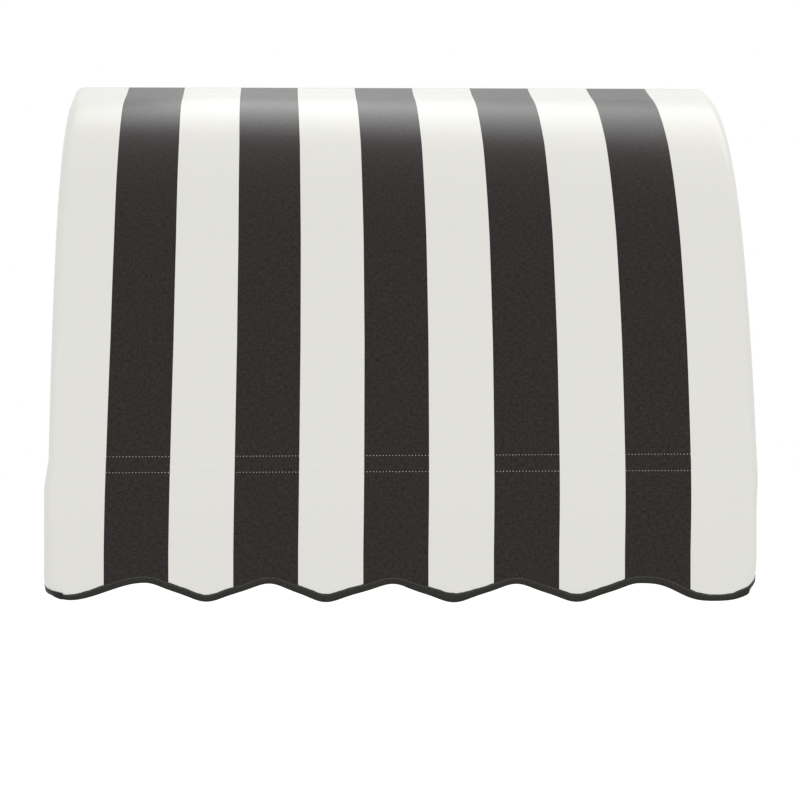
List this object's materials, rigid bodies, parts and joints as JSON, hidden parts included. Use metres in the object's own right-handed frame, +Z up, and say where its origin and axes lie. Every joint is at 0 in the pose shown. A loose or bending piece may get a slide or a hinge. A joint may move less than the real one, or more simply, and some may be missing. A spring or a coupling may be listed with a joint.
{
  "type": "window awning",
  "caption": "Fixed bow window awning with a striped canvas cover, closed sides, a scalloped bound valance and a tube frame with cast hubs for wall mounting.",
  "frame": {"origin": "on the wall face of the middle top hub's plate, on the wall rail's centre line", "axes": "+Y into the wall, +X to the right seen from the street, +Z up"},
  "size_m": [1.0318, 0.6109, 0.7909],
  "materials": {
    "canvas": "woven acrylic canvas, pale and charcoal bands",
    "tape": "woven binding tape, charcoal",
    "tubes": "drawn, satin",
    "hubs": "sand cast",
    "screws": "zinc plated"
  },
  "bodies": {
    "root": {"base_arm_left": "tubes", "base_arm_right": "tubes", "bow_centre": "tubes", "bow_left": "tubes", "bow_right": "tubes", "canopy_cover": "canvas", "corner_hub_foot_left": "hubs", "corner_hub_foot_right": "hubs", "corner_hub_front_left": "hubs", "corner_hub_front_right": "hubs", "corner_hub_top_left": "hubs", "corner_hub_top_right": "hubs", "edge_binding": "tape", "front_bar_left": "tubes", "front_bar_right": "tubes", "front_pocket_left": "canvas", "front_pocket_right": "canvas", "screw_base_arm_left_foot_left": "screws", "screw_base_arm_left_front_left": "screws", "screw_base_arm_right_foot_right": "screws", "screw_base_arm_right_front_right": "screws", "screw_bow_centre_middle_front": "screws", "screw_bow_centre_middle_top": "screws", "screw_bow_left_front_left": "screws", "screw_bow_left_top_left": "screws", "screw_bow_right_front_right": "screws", "screw_bow_right_top_right": "screws", "screw_front_bar_left_front_left": "screws", "screw_front_bar_left_middle_front": "screws", "screw_front_bar_right_front_right": "screws", "screw_front_bar_right_middle_front": "screws", "screw_wall_rail_left_middle_top": "screws", "screw_wall_rail_left_top_left": "screws", "screw_wall_rail_right_middle_top": "screws", "screw_wall_rail_right_top_right": "screws", "screw_wall_upright_left_foot_left": "screws", "screw_wall_upright_left_top_left": "screws", "screw_wall_upright_right_foot_right": "screws", "screw_wall_upright_right_top_right": "screws", "side_panel_left": "canvas", "side_panel_right": "canvas", "side_pocket_left": "canvas", "side_pocket_right": "canvas", "tee_hub_front": "hubs", "tee_hub_top": "hubs", "wall_rail_left": "tubes", "wall_rail_right": "tubes", "wall_upright_left": "tubes", "wall_upright_right": "tubes"}
  },
  "joints": []
}
